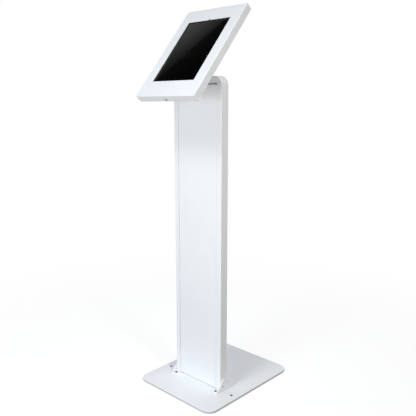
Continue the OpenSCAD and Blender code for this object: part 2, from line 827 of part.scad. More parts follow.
module tablet_shell() {
    color("dimgray") difference() {
        at_face() translate([0, window_up, tablet_back]) difference() {
            linear_extrude(tablet_t) round_rect(tablet_w, tablet_h, tablet_corner_r);
            translate([0, 0, tablet_t - glass_t]) linear_extrude(glass_t + cut)
                round_rect(tablet_w - 2 * glass_rim, tablet_h - 2 * glass_rim, tablet_corner_r - glass_rim);
        }
        at_power() button_pocket(power_l);
        at_volume(volume_v) button_pocket(volume_l);
        at_volume(volume_v - volume_pitch) button_pocket(volume_l);
    }
}

module tablet_glass() {
    edge = glass_rim + fit_gap;
    color("black") at_face() translate([0, window_up, glass_w - glass_t]) linear_extrude(glass_t)
        round_rect(tablet_w - 2 * edge, tablet_h - 2 * edge, tablet_corner_r - edge);
}

module power_button() {
    color("gray") at_power() button(power_l);
}

module volume_up_button() {
    color("gray") at_volume(volume_v) button(volume_l);
}

module volume_down_button() {
    color("gray") at_volume(volume_v - volume_pitch) button(volume_l);
}

// Lock body clamped in the front cover's bottom wall
module lock_barrel() {
    color("silver") at_lock() difference() {
        union() {
            translate([0, 0, -lock_flange_t]) cylinder(d = lock_flange_d, h = lock_flange_t);
            cylinder(d = lock_body_d, h = lock_body_l);
        }
        translate([0, 0, -lock_flange_t - cut])
            cylinder(d = lock_plug_d + 2 * run_gap, h = lock_flange_t + lock_body_l + 2 * cut);
    }
}

module lock_nut() {
    color("silver") at_lock() translate([0, 0, lid_t]) nut(lock_nut_d, lock_nut_t, lock_body_d, 6);
}

// Turning plug: keyway outside, flattened tip inside that passes the catch only when unlocked
module lock_plug() {
    color("gray") at_lock() difference() {
        union() {
            translate([0, 0, -lock_flange_t]) cylinder(d = lock_plug_d, h = lock_flange_t + lock_body_l);
            intersection() {
                cylinder(d = lock_plug_d, h = lock_body_l + lock_tip_l);
                translate([-lock_flat / 2, -lock_plug_d, 0])
                    cube([lock_flat, 2 * lock_plug_d, lock_body_l + lock_tip_l]);
            }
        }
        translate([-key_slot_w / 2, -key_slot_l / 2, -lock_flange_t - cut])
            cube([key_slot_w, key_slot_l, key_slot_deep + cut]);
    }
}

base_plate();
column_shoe();
shoe_screws();
side_screws();
side_nuts();
column_back();
column_wrap();
column_frame();
cover_studs();
column_cover();
cover_rails();
cable_grommets();
neck_bracket();
neck_bolts();
neck_nuts();
pivot_bolt();
pivot_washers();
pivot_nut();
friction_discs();
tilt_bracket();
fixing_screws();
fixing_nuts();
rear_tray();
tray_grommet();
hinge_pins();
front_cover();
front_gasket();
corner_blocks();
back_pads();
tablet_shell();
tablet_glass();
power_button();
volume_up_button();
volume_down_button();
lock_barrel();
lock_nut();
lock_plug();
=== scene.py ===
import json

import bpy
import numpy as np
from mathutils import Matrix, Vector


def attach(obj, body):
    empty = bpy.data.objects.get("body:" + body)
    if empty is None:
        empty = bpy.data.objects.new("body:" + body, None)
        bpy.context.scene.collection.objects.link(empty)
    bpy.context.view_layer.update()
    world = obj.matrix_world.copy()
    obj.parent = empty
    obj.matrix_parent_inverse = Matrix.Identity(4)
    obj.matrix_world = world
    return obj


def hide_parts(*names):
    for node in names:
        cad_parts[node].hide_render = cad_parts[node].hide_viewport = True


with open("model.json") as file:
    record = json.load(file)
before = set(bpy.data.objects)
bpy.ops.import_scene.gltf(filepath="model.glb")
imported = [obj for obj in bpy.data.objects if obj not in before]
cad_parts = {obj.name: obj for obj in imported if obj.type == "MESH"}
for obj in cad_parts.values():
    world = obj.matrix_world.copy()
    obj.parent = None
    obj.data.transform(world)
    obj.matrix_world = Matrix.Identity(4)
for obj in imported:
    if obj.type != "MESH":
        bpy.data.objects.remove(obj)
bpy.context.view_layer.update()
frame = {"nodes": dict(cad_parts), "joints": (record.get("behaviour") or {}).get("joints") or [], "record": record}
scene = bpy.context.scene
scene.view_settings.view_transform = "Standard"
jointOf = {j["name"]: j for j in frame["joints"]}
print("frame loaded:", len(frame["nodes"]), "nodes")

mm = 0.001
hair = 0.1 * mm  # lengths closer than this count as one

# Axes of the tilted enclosure: across its face, up its face, out of its face
acrossFace = np.array([1.0, 0.0, 0.0])
upFace = np.array(jointOf["lock_turn"]["axis"], float)
upFace /= np.linalg.norm(upFace)
outOfFace = np.cross(acrossFace, upFace)
faceAxes = np.stack([acrossFace, upFace, outOfFace])


def nodePoints(node):
    mesh = frame["nodes"][node].data
    flat = np.empty(len(mesh.vertices) * 3, np.float32)
    mesh.vertices.foreach_get("co", flat)
    return flat.reshape(-1, 3).astype(float)


# Lowest and highest corner of some points along three axes
def extentAlong(axes, points):
    spots = points @ axes.T
    return spots.min(0), spots.max(0)


# Distance along an axis and away from it, for each point
def aroundAxis(points, origin, axis):
    along = (points - origin) @ axis
    away = np.linalg.norm(points - origin - along[:, None] * axis, axis=1)
    return along, away


# Shader groups: shared effects that put out only masks and heights

def newGroup(name, inputs, outputs):
    tree = bpy.data.node_groups.new(name, "ShaderNodeTree")
    tree.interface.new_socket("Vector", in_out="INPUT", socket_type="NodeSocketVector")
    for label, value in inputs.items():
        tree.interface.new_socket(label, in_out="INPUT", socket_type="NodeSocketFloat").default_value = value
    for label in outputs:
        tree.interface.new_socket(label, in_out="OUTPUT", socket_type="NodeSocketFloat")
    return tree, tree.nodes.new("NodeGroupInput").outputs, tree.nodes.new("NodeGroupOutput").inputs


# One node with its settings; an input is a value, or the socket that feeds it
def addNode(tree, kind, inputs, **settings):
    node = tree.nodes.new(kind)
    for key, value in settings.items():
        setattr(node, key, value)
    for key, value in inputs.items():
        if isinstance(value, bpy.types.NodeSocket):
            tree.links.new(value, node.inputs[key])
        else:
            node.inputs[key].default_value = value
    return node


def noise(tree, vector, scale, detail=2.0, rough=0.5):
    inputs = {"Vector": vector, "Scale": scale, "Detail": detail, "Roughness": rough}
    return addNode(tree, "ShaderNodeTexNoise", inputs).outputs[0]


def calc(tree, operation, a, b=0.0):
    return addNode(tree, "ShaderNodeMath", {0: a, 1: b}, operation=operation).outputs[0]


# Soft or straight step from low to high
def ramp(tree, value, low, high, toLow=0.0, toHigh=1.0, shape="SMOOTHSTEP"):
    inputs = {"Value": value, "From Min": low, "From Max": high, "To Min": toLow, "To Max": toHigh}
    return addNode(tree, "ShaderNodeMapRange", inputs, interpolation_type=shape).outputs[0]


# a times its share plus b times the rest
def blendValues(tree, a, b, share):
    return calc(tree, "ADD", calc(tree, "MULTIPLY", a, share), calc(tree, "MULTIPLY", b, 1 - share))


# Powder coat: fine grain over soft orange peel, and a slow change of tone
def coatTexture():
    sizes = {"Grain": 1500.0, "Peel": 280.0, "Cloud": 6.0}
    tree, into, out = newGroup("coatTexture", sizes, ["Height", "Tone"])
    grain = noise(tree, into["Vector"], into["Grain"])
    peel = noise(tree, into["Vector"], into["Peel"], 1.0)
    cloud = noise(tree, into["Vector"], into["Cloud"], 3.0, 0.6)
    tree.links.new(blendValues(tree, grain, peel, 0.4), out["Height"])
    tree.links.new(ramp(tree, cloud, 0.3, 0.7), out["Tone"])
    return tree


# Marks of hands and cloths: slanting streaks that show only in patches
def handlingMarks():
    tree, into, out = newGroup("handlingMarks", {"Patch": 14.0, "Streak": 120.0}, ["Mask"])
    slant = {"Vector": into["Vector"], "Rotation": (0.3, 0.5, 0.7), "Scale": (1.0, 0.16, 0.4)}
    streaks = noise(tree, addNode(tree, "ShaderNodeMapping", slant).outputs[0], into["Streak"], 4.0, 0.6)
    patches = noise(tree, into["Vector"], into["Patch"])
    mask = calc(tree, "MULTIPLY", ramp(tree, streaks, 0.42, 0.72), ramp(tree, patches, 0.45, 0.68))
    tree.links.new(mask, out["Mask"])
    return tree


# Specks of a plated, moulded or pressed surface: cells with a fine height, and blotches of tone
def surfaceSpecks():
    tree, into, out = newGroup("surfaceSpecks", {"Size": 900.0}, ["Height", "Tone"])
    spots = {"Vector": into["Vector"], "Scale": into["Size"]}
    cells = addNode(tree, "ShaderNodeTexVoronoi", spots).outputs["Distance"]
    fine = noise(tree, into["Vector"], calc(tree, "MULTIPLY", into["Size"], 1.7))
    blotch = noise(tree, into["Vector"], calc(tree, "MULTIPLY", into["Size"], 0.12), 4.0, 0.65)
    tree.links.new(blendValues(tree, ramp(tree, cells, 0.1, 0.7), fine, 0.5), out["Height"])
    tree.links.new(ramp(tree, blotch, 0.3, 0.7), out["Tone"])
    return tree


groups = {"coat": coatTexture(), "marks": handlingMarks(), "specks": surfaceSpecks()}
print("shader groups made:", ", ".join(groups))


# A material with its Principled shader's plain sockets set, and the vector that its patterns read
def newMaterial(name, coordinates="Object", **sockets):
    material = bpy.data.materials.new(name)
    material.use_nodes = True
    tree = material.node_tree
    shader = tree.nodes["Principled BSDF"]
    for label, value in sockets.items():
        shader.inputs[label.replace("_", " ")].default_value = value
    return material, tree, shader.inputs, tree.nodes.new("ShaderNodeTexCoord").outputs[coordinates]


# A shader group in a material; its values are set after the group, which brings the sockets
def groupNode(tree, key, vector, **values):
    node = tree.nodes.new("ShaderNodeGroup")
    node.node_tree = groups[key]
    tree.links.new(vector, node.inputs["Vector"])
    for label, value in values.items():
        node.inputs[label].default_value = value
    return node.outputs


def mixColours(tree, mask, a, b):
    a, b = ((*colour, 1.0) if isinstance(colour, tuple) else colour for colour in (a, b))
    return addNode(tree, "ShaderNodeMix", {"Factor": mask, 6: a, 7: b}, data_type="RGBA").outputs[2]


def bump(tree, height, strength, depth):
    inputs = {"Height": height, "Strength": strength, "Distance": depth}
    return addNode(tree, "ShaderNodeBump", inputs).outputs[0]


# Roughness between two ends: more by the slow tone of the surface than by the marks on it
def wornRoughness(tree, tone, marks, look):
    toneShare = 0.6
    worn = blendValues(tree, tone, marks, toneShare)
    return ramp(tree, worn, 0.0, 1.0, look["smooth"], look["rough"])


smallMarks = {"Patch": 40.0, "Streak": 300.0}


# A finish of specks and marks: two tones, a range of roughness and a bump
def speckledFinish(look):
    material, tree, shader, vector = newMaterial(look["name"], Metallic=look["metallic"])
    specks = groupNode(tree, "specks", vector, Size=look["size"])
    marks = groupNode(tree, "marks", vector, **smallMarks)
    tree.links.new(mixColours(tree, specks["Tone"], look["deep"], look["light"]), shader["Base Color"])
    tree.links.new(wornRoughness(tree, specks["Tone"], marks["Mask"], look), shader["Roughness"])
    tree.links.new(bump(tree, specks["Height"], look["bump"], look["depth"]), shader["Normal"])
    return material


whiteCoat = {
    "light": (0.868, 0.88, 0.895), "deep": (0.846, 0.857, 0.872), "smooth": 0.28, "rough": 0.42,
    "bump": 0.2, "depth": 0.00012, "marks": {"Patch": 9.0, "Streak": 60.0},
}
# Painted shade of the base plate: near black in its drilled holes and grey on its upright cut edges
platePaintedShade = {
    # holeShade is painted shade: near black inside the drilled holes
    "holeShade": (0.035, 0.036, 0.04), "overlap": 0.00015,
    # edge is painted shade: grey on the upright cut edges of the plate
    "edge": (0.6, 0.61, 0.62), "fullEdgeShade": 0.2, "noEdgeShade": 0.7,
}


# Mask of the drilled holes in the base plate, where the coat takes a near black painted shade: the distance from
# their axes, folded over so that one serves both
def holeShadeMask(tree, vector, look):
    mount = next(m for m in frame["record"]["mounts"] if m["name"] == "floor_anchors")
    middle, dims = mount["pos_m"], mount["dims"]
    apart = addNode(tree, "ShaderNodeSeparateXYZ", {"Vector": vector}).outputs
    across = calc(tree, "SUBTRACT", calc(tree, "ABSOLUTE", apart["X"]), dims["spacing_x_mm"] * mm / 2)
    along = calc(tree, "SUBTRACT", apart["Y"], middle[1])
    squares = [calc(tree, "POWER", part, 2.0) for part in (across, along)]
    far = calc(tree, "SQRT", calc(tree, "ADD", *squares))
    return calc(tree, "LESS_THAN", far, dims["hole_r_mm"] * mm + look["overlap"])


# Mask of the plate's cut edges, which take a grey painted shade: the faces that stand upright
def edgeShadeMask(tree, look):
    normal = tree.nodes.new("ShaderNodeTexCoord").outputs["Normal"]
    lying = calc(tree, "ABSOLUTE", addNode(tree, "ShaderNodeSeparateXYZ", {"Vector": normal}).outputs["Z"])
    return ramp(tree, lying, look["fullEdgeShade"], look["noEdgeShade"], 1.0, 0.0)


def makeWhiteCoat(name, look, paintedShade=None):
    material, tree, shader, vector = newMaterial(name)
    coat = groupNode(tree, "coat", vector)
    marks = groupNode(tree, "marks", vector, **look["marks"])
    colour = mixColours(tree, coat["Tone"], look["deep"], look["light"])
    if paintedShade:
        # painted shade: the upright cut edges turn grey
        colour = mixColours(tree, edgeShadeMask(tree, paintedShade), colour, paintedShade["edge"])
        # painted shade: the drilled holes turn near black
        colour = mixColours(tree, holeShadeMask(tree, vector, paintedShade), colour, paintedShade["holeShade"])
    tree.links.new(colour, shader["Base Color"])
    tree.links.new(wornRoughness(tree, coat["Tone"], marks["Mask"], look), shader["Roughness"])
    tree.links.new(bump(tree, coat["Height"], look["bump"], look["depth"]), shader["Normal"])
    return material


screenGlass = {
    "border": (0.001, 0.001, 0.0012), "display": (0.0016, 0.0016, 0.0018),
    "displaySize": (0.1478, 0.1971), "edgeSoft": 0.001,
    "ior": 1.5, "clean": 0.03, "smeared": 0.12, "marks": {"Patch": 22.0, "Streak": 160.0},
}


# Black cover glass: the UV map is in metres from the glass's middle, so the dark display is a box in it
def makeScreenGlass(look):
    material, tree, shader, vector = newMaterial("screenGlass", "UV", IOR=look["ior"])
    apart = addNode(tree, "ShaderNodeSeparateXYZ", {"Vector": vector}).outputs
    sides = [
        calc(tree, "DIVIDE", calc(tree, "ABSOLUTE", way), size / 2)
        for way, size in zip((apart["X"], apart["Y"]), look["displaySize"])
    ]
    edge = ramp(tree, calc(tree, "MAXIMUM", *sides), 1 - look["edgeSoft"], 1 + look["edgeSoft"])
    tree.links.new(mixColours(tree, edge, look["display"], look["border"]), shader["Base Color"])
    marks = groupNode(tree, "marks", vector, **look["marks"])
    smear = ramp(tree, marks["Mask"], 0.0, 1.0, look["clean"], look["smeared"])
    tree.links.new(smear, shader["Roughness"])
    return material


# Finishes by slot of the record, or by node where one piece of a slot looks different
finishes = {
    "lock_plug": {
        "name": "blackenedPlug", "deep": (0.016, 0.016, 0.017), "light": (0.034, 0.034, 0.036),
        "smooth": 0.35, "rough": 0.5, "metallic": 0.5, "size": 1600.0, "bump": 0.1, "depth": 0.00005,
    },
    "black_steel": {
        "name": "blackenedSteel", "deep": (0.1, 0.1, 0.104), "light": (0.15, 0.151, 0.155),
        "smooth": 0.4, "rough": 0.6, "metallic": 0.7, "size": 1500.0, "bump": 0.15, "depth": 0.00008,
    },
    "zinc_steel": {
        "name": "zincPlate", "deep": (0.52, 0.525, 0.53), "light": (0.66, 0.665, 0.67),
        "smooth": 0.22, "rough": 0.42, "metallic": 1.0, "size": 1200.0, "bump": 0.12, "depth": 0.00008,
    },
    "friction_fibre": {
        "name": "pressedFibre", "deep": (0.2, 0.11, 0.06), "light": (0.36, 0.2, 0.11),
        "smooth": 0.7, "rough": 0.9, "metallic": 0.0, "size": 700.0, "bump": 0.4, "depth": 0.0002,
    },
    "black_rubber": {
        "name": "mouldedRubber", "deep": (0.014, 0.014, 0.015), "light": (0.028, 0.028, 0.029),
        "smooth": 0.55, "rough": 0.8, "metallic": 0.0, "size": 1400.0, "bump": 0.25, "depth": 0.0001,
    },
    "grey_foam": {
        "name": "closedCellFoam", "deep": (0.05, 0.05, 0.053), "light": (0.11, 0.11, 0.115),
        "smooth": 0.8, "rough": 0.95, "metallic": 0.0, "size": 1100.0, "bump": 0.6, "depth": 0.0003,
    },
    "black_plastic": {
        "name": "sparkedPlastic", "deep": (0.02, 0.02, 0.021), "light": (0.034, 0.034, 0.036),
        "smooth": 0.42, "rough": 0.6, "metallic": 0.0, "size": 1300.0, "bump": 0.3, "depth": 0.0001,
    },
    "tablet_metal": {
        "name": "blastedAluminium", "deep": (0.2, 0.2, 0.212), "light": (0.26, 0.26, 0.275),
        "smooth": 0.32, "rough": 0.44, "metallic": 1.0, "size": 2600.0, "bump": 0.2, "depth": 0.00006,
    },
    "lock_chrome": {
        "name": "brightNickel", "deep": (0.5, 0.49, 0.47), "light": (0.66, 0.65, 0.63),
        "smooth": 0.1, "rough": 0.24, "metallic": 1.0, "size": 1600.0, "bump": 0.05, "depth": 0.00005,
    },
}
materialOf = {key: speckledFinish(look) for key, look in finishes.items()}
materialOf["white_coat"] = makeWhiteCoat("whiteCoat", whiteCoat)
# the base plate's coat carries the painted shade of its holes and cut edges
materialOf["base_plate"] = makeWhiteCoat("plateCoatPaintedShade", whiteCoat, platePaintedShade)
materialOf["screen_glass"] = makeScreenGlass(screenGlass)
for part in frame["record"]["subparts"]:
    node = frame["nodes"][part["node"]]
    node.data.materials.clear()
    node.data.materials.append(materialOf.get(part["node"], materialOf[part["material_slot"]]))
print("materials made:", len(materialOf))


# Meshes from arrays

# Quads of a grid of rows by columns of points; the columns wrap round, and so do the rows when closed
def gridFaces(rows, columns, closeRows):
    i, j = np.meshgrid(np.arange(rows if closeRows else rows - 1), np.arange(columns), indexing="ij")
    i, j = i.ravel(), j.ravel()
    nextI, nextJ = (i + 1) % rows, (j + 1) % columns
    quads = [i * columns + j, i * columns + nextJ, nextI * columns + nextJ, nextI * columns + j]
    return np.stack(quads, 1).tolist()


# A closed mesh of rings (rings, points, 3): quads between them, and a flat face on the first and the last
def ringMesh(rings, capped=True):
    rows, columns = rings.shape[:2]
    faces = gridFaces(rows, columns, closeRows=not capped)
    if capped:
        faces.append(list(range(columns))[::-1])
        faces.append(list(range((rows - 1) * columns, rows * columns)))
    return rings.reshape(-1, 3), faces


# Volume inside a mesh by the divergence theorem over a fan of each face; it is negative where the faces
# point inwards
def insideVolume(points, faces):
    fans = np.array([(f[0], f[k], f[k + 1]) for f in faces for k in range(1, len(f) - 1)])
    a, b, c = (points[fans[:, k]] for k in range(3))
    return np.einsum("ij,ij->i", a, np.cross(b, c)).sum() / 6


def joinMeshes(meshes):
    points, faces, start = [], [], 0
    for somePoints, someFaces in meshes:
        if insideVolume(somePoints, someFaces) < 0:
            someFaces = [f[::-1] for f in someFaces]
        points.append(somePoints)
        faces += [[index + start for index in f] for f in someFaces]
        start += len(somePoints)
    return np.concatenate(points), faces


def addPiece(name, meshes, body, slot, replaced=None, flatAngle=35.0):
    points, faces = joinMeshes(meshes)
    mesh = bpy.data.meshes.new(name)
    mesh.from_pydata(points.tolist(), [], faces)
    mesh.polygons.foreach_set("use_smooth", np.full(len(mesh.polygons), True))
    mesh.set_sharp_from_angle(angle=np.radians(flatAngle))
    mesh.materials.append(materialOf[slot])
    piece = bpy.data.objects.new(name, mesh)
    scene.collection.objects.link(piece)
    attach(piece, body)
    if replaced:
        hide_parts(replaced)
    print("piece", name, len(points), "points")
    return piece


# Two directions square to an axis
def squareTo(axis):
    side = np.cross(axis, [0.0, 0.0, 1.0] if abs(axis[2]) < 0.9 else [1.0, 0.0, 0.0])
    side /= np.linalg.norm(side)
    return side, np.cross(axis, side)


# Rings about an axis, where the radius may change with the angle at each station:
# point = origin + along*axis + radius*direction
def ringsAbout(origin, axis, along, radius):
    angle = np.linspace(0, 2 * np.pi, radius.shape[1], endpoint=False)
    side, other = squareTo(axis)
    direction = np.cos(angle)[:, None] * side + np.sin(angle)[:, None] * other
    return origin + along[:, None, None] * axis + radius[:, :, None] * direction


# A closed outline with its corners rounded: a Bezier arc from edge to edge at each corner
def softOutline(corners, radius, steps=6):
    corners = np.array(corners, float)
    before, after = np.roll(corners, 1, 0) - corners, np.roll(corners, -1, 0) - corners
    longBefore, longAfter = (np.linalg.norm(side, axis=1)[:, None] for side in (before, after))
    mostOfEdge = 0.49
    reach = np.minimum(np.minimum(longBefore, longAfter) * mostOfEdge, radius)
    start = corners + before / longBefore * reach
    end = corners + after / longAfter * reach
    t = np.linspace(0, 1, steps)[None, :, None]
    arcs = (1 - t) ** 2 * start[:, None] + 2 * t * (1 - t) * corners[:, None] + t ** 2 * end[:, None]
    return arcs.reshape(-1, 2)


# A lathe turn of a closed outline of (radius, along) pairs
def latheMesh(origin, axis, outline, count=72):
    radius, along = np.repeat(outline[:, :1], count, 1), outline[:, 1]
    return ringMesh(ringsAbout(origin, axis, along, radius), capped=False)


# Rounded rectangle as one closed row of points with their outward directions: four quarter arcs
def roundedRow(width, height, radius, steps=10):
    angle = np.linspace(0, np.pi / 2, steps)[None, :] + np.arange(4)[:, None] * np.pi / 2
    outward = np.stack([np.cos(angle), np.sin(angle)], -1)
    middle = np.array([[1, 1], [-1, 1], [-1, -1], [1, -1]]) * (np.array([width, height]) / 2 - radius)
    return (middle[:, None] + radius * outward).reshape(-1, 2), outward.reshape(-1, 2)


def signedPower(wave, power):
    return np.sign(wave) * np.abs(wave) ** power


# Superellipsoid in a box: signed powers of the sines and cosines of two angles, squarer as the power
# falls
def pillowMesh(low, high, axes, power=0.35, rows=24, columns=48):
    lift = np.linspace(-np.pi / 2, np.pi / 2, rows + 2)[1:-1, None]
    turn = np.linspace(0, 2 * np.pi, columns, endpoint=False)[None, :]
    ringWave, heightWave = signedPower(np.cos(lift), power), signedPower(np.sin(lift), power)
    sides = [ringWave * signedPower(wave(turn), power) for wave in (np.cos, np.sin)]
    shape = np.stack([*sides, heightWave * np.ones_like(turn)], -1)
    return ringMesh(((low + high) / 2 + shape * (high - low) / 2) @ axes)


# Cover glass of the tablet: a rounded rectangle whose edge is rolled by quarter circles at the front and
# the back, with a flat border that ends two rolls from the edge
coverGlass = {"corner": 0.0078, "roll": 0.0004, "border": 2, "steps": 6}


def makeCoverGlass(look):
    low, high = extentAlong(faceAxes, nodePoints("tablet_glass"))
    middle, size = (low + high) / 2, high - low
    quarter = np.linspace(0, np.pi / 2, look["steps"])
    border = [look["border"]]
    inset = look["roll"] * np.concatenate([border, 1 - np.sin(quarter), 1 - np.cos(quarter), border])
    rolled = look["roll"] * np.concatenate([[0], 1 - np.cos(quarter), np.sin(quarter) - 1, [0]])
    depth = np.repeat([low[2], high[2]], len(quarter) + 1) + rolled
    row, outward = roundedRow(size[0], size[1], look["corner"])
    flat = row[None] - inset[:, None, None] * outward[None] + middle[:2]
    rings = np.concatenate([flat, np.broadcast_to(depth[:, None, None], (*flat.shape[:2], 1))], -1)
    piece = addPiece("coverGlass", [ringMesh(rings @ faceAxes)], "head", "screen_glass", "tablet_glass")
    uv = piece.data.uv_layers.new(name="fromMiddle")
    corner = np.empty(len(piece.data.loops), np.int32)
    piece.data.loops.foreach_get("vertex_index", corner)
    place = (rings.reshape(-1, 3)[:, :2] - middle[:2])[corner]
    uv.data.foreach_set("uv", place.astype(np.float32).ravel())
    return low, high


glassLow, glassHigh = makeCoverGlass(coverGlass)


# Camera behind the notch of the window: a flat ring with a shallow dome in it
cameraEye = {
    "ring": 0.0022, "lens": 0.0014, "proud": 0.00012, "sunk": 0.0002, "dome": 0.0001, "round": 0.00006,
    "notchHalf": 0.0035, "outerEdge": 0.02, "belowNotch": 0.003, "count": 48,
}


def makeCameraEye(look):
    across, up, out = faceAxes @ nodePoints("front_cover").T
    onFace = out > out.max() - 2 * hair
    inNotch = onFace & (np.abs(across) < look["notchHalf"]) & (up < up.max() - look["outerEdge"])
    notchTop = up[inNotch].max()
    centre = (notchTop - look["belowNotch"]) * upFace + (glassHigh[2] - look["sunk"]) * outOfFace
    rise = look["sunk"] + look["proud"]
    ring, lens = look["ring"], look["lens"]
    rim = softOutline([(lens, 0.0), (ring, 0.0), (ring, rise), (lens, rise)], look["round"], 4)
    t = np.linspace(0, np.pi / 2, 10)[:-1]
    dome = np.stack([lens * np.cos(t), rise - look["dome"] + look["dome"] * np.sin(t)], 1)
    outline = np.concatenate([[[lens, 0.0]], dome])
    rings = ringsAbout(centre, outOfFace, outline[:, 1], np.repeat(outline[:, :1], look["count"], 1))
    meshes = [latheMesh(centre, outOfFace, rim, look["count"]), ringMesh(rings)]
    addPiece("cameraEye", meshes, "head", "screen_glass")


makeCameraEye(cameraEye)


# Hex bolt and nut of the tilt pivot
pivotFastener = {
    "count": 96, "chamferSlope": 0.55, "chamferStart": 0.94, "topShare": 0.97,
    "headRings": 14, "nutRings": 16, "boreChamfer": 0.0006, "flatAngle": 28.0,
    "pitch": 0.00125, "threadDepth": 0.0006, "stations": 10,
    "pastNut": 0.002, "tipShare": 0.2, "tipDepth": 1.6,
}


# Radius of a hexagon across an angle, cut back to a cone near its ends: the smaller of the two at each point
def hexRadius(cornerRadius, fromEnd, look):
    angle = np.linspace(0, 2 * np.pi, look["count"], endpoint=False)
    flats = cornerRadius * np.cos(np.pi / 6)
    hexagon = flats / np.cos((angle + np.pi / 6) % (np.pi / 3) - np.pi / 6)
    cone = flats * look["chamferStart"] + fromEnd / look["chamferSlope"]
    return np.minimum(hexagon[None, :], cone[:, None])


# Thread: the radius falls and rises as a triangle wave of the distance along the axis less the turn
def threadRadius(radius, along, look):
    turn = np.linspace(0, 1, look["count"], endpoint=False)
    wave = np.abs(((along[:, None] / look["pitch"] - turn[None, :]) % 1) * 2 - 1)
    return radius - look["threadDepth"] * wave


def makePivotFastener(look):
    pivot = np.array(jointOf["head_tilt"]["pos_m"], float)
    axis = acrossFace
    along, away = aroundAxis(nodePoints("pivot_bolt"), pivot, axis)
    washerAlong, _ = aroundAxis(nodePoints("pivot_washers"), pivot, axis)
    nutAlong, nutAway = aroundAxis(nodePoints("pivot_nut"), pivot, axis)
    shank = away[along < washerAlong.max() - mm].max()
    headFoot, headTop, tip = washerAlong.max(), along.max(), along.min()
    smooth = np.ones((1, look["count"]))
    head = np.linspace(headTop, headFoot, look["headRings"])
    threadEnds = nutAlong.max() + look["pastNut"], tip + shank * look["tipShare"]
    thread = np.arange(*threadEnds, -look["pitch"] / look["stations"])
    stations = [[headTop], head, [headFoot, thread[0] + look["pitch"]], thread, [tip]]
    top = away.max() * np.cos(np.pi / 6) * look["chamferStart"] * look["topShare"]
    radii = [
        smooth * top, hexRadius(away.max(), headTop - head, look), smooth * shank, smooth * shank,
        threadRadius(shank, thread, look), smooth * (shank - look["threadDepth"] * look["tipDepth"]),
    ]
    rings = ringsAbout(pivot, axis, np.concatenate(stations), np.concatenate(radii))
    addPiece("pivotBolt", [ringMesh(rings)], "stand", "zinc_steel", "pivot_bolt", look["flatAngle"])
    nut = np.linspace(nutAlong.min(), nutAlong.max(), look["nutRings"])
    ends = np.minimum(nut - nut[0], nut[-1] - nut)
    opened = nutAway.min() + np.clip(look["boreChamfer"] - ends[::-1], 0, None)
    radii = [hexRadius(nutAway.max(), ends, look), np.repeat(opened[:, None], look["count"], 1)]
    rings = ringsAbout(pivot, axis, np.concatenate([nut, nut[::-1]]), np.concatenate(radii))
    nutMesh = ringMesh(rings, capped=False)
    addPiece("pivotNut", [nutMesh], "stand", "zinc_steel", "pivot_nut", look["flatAngle"])


makePivotFastener(pivotFastener)


# Rubber grommets: a lathe turn of two lips and a groove, all edges rounded
grommets = {"round": 0.0009}


def grommetMesh(points, origin, axis, look):
    along, away = aroundAxis(points, origin, axis)
    low, high, bore, lip = along.min(), along.max(), away.min(), away.max()
    levels = np.unique(np.round(along, 5))
    inner = levels[(levels > low + hair) & (levels < high - hair)]
    groove = away[(np.abs(along - inner[0]) < hair) & (away < lip - hair) & (away > bore + hair)].max()
    lower = [(bore, low), (lip, low), (lip, inner[0]), (groove, inner[0])]
    upper = [(groove, inner[-1]), (lip, inner[-1]), (lip, high), (bore, high)]
    return latheMesh(origin, axis, softOutline(lower + upper, look["round"]))


def makeGrommets(look):
    points = nodePoints("cable_grommets")
    upper = points[:, 2] > points[:, 2].mean()
    backward, skyward = np.array([0.0, 1.0, 0.0]), np.array([0.0, 0.0, 1.0])
    meshes = [
        grommetMesh(some, (some.min(0) + some.max(0)) / 2, axis, look)
        for some, axis in ((points[~upper], backward), (points[upper], skyward))
    ]
    addPiece("cableGrommets", meshes, "stand", "black_rubber", "cable_grommets")
    points = nodePoints("tray_grommet")
    low, high = extentAlong(faceAxes, points)
    mesh = grommetMesh(points, (low + high) / 2 @ faceAxes, outOfFace, look)
    addPiece("trayGrommet", [mesh], "head", "black_rubber", "tray_grommet")


makeGrommets(grommets)


# Foam: a frame behind the face with a crowned section carried round the window, and four crowned pads
foam = {"corner": 0.004, "power": 0.3, "padPower": 0.25, "section": 28}


def makeFoam(look):
    points = nodePoints("front_gasket")
    low, high = extentAlong(faceAxes, points)
    middle, size = (low + high) / 2, high - low
    spots = points @ faceAxes.T - middle
    fromMiddle = np.abs(spots[:, :2])
    inside = fromMiddle[np.all(fromMiddle < size[:2] / 2 - 5 * hair, axis=1)].max(0)
    turn = np.linspace(0, 2 * np.pi, look["section"], endpoint=False)
    breadth, height = size[:2] / 2 - inside, size[2] / 2 * signedPower(np.sin(turn), look["power"])
    row, outward = roundedRow(*(inside * 2 + breadth), look["corner"])
    section = signedPower(np.cos(turn), look["power"])[:, None, None] * outward[None] * (breadth / 2)
    flat = row[None] + section
    depth = np.broadcast_to(height[:, None, None], (*flat.shape[:2], 1))
    rings = np.concatenate([flat, depth], -1) + middle
    addPiece("foamFrame", [ringMesh(rings @ faceAxes, capped=False)], "lid", "grey_foam", "front_gasket")
    points = nodePoints("back_pads")
    spots = points @ faceAxes.T
    centre = (spots.min(0) + spots.max(0)) / 2
    meshes = []
    for right in (True, False):
        for upper in (True, False):
            some = spots[((spots[:, 0] > centre[0]) == right) & ((spots[:, 1] > centre[1]) == upper)]
            meshes.append(pillowMesh(some.min(0), some.max(0), faceAxes, look["padPower"]))
    pads = addPiece("foamPads", meshes, "head", "grey_foam", "back_pads")


makeFoam(foam)


# Buttons of the tablet: squarish pillows in the space of their nodes
buttons = {
    "power": 0.3,
    "places": {
        "powerButton": ("power_button", "power_key"),
        "volumeUpButton": ("volume_up_button", "volume_up_key"),
        "volumeDownButton": ("volume_down_button", "volume_down_key"),
    },
}
for name, (node, body) in buttons["places"].items():
    low, high = extentAlong(faceAxes, nodePoints(node))
    addPiece(name, [pillowMesh(low, high, faceAxes, buttons["power"])], body, "tablet_metal", node)


# Lock: a lathe turn of a bezel with a rounded rim on a body with a bore
lockBezel = {"round": 0.0005}


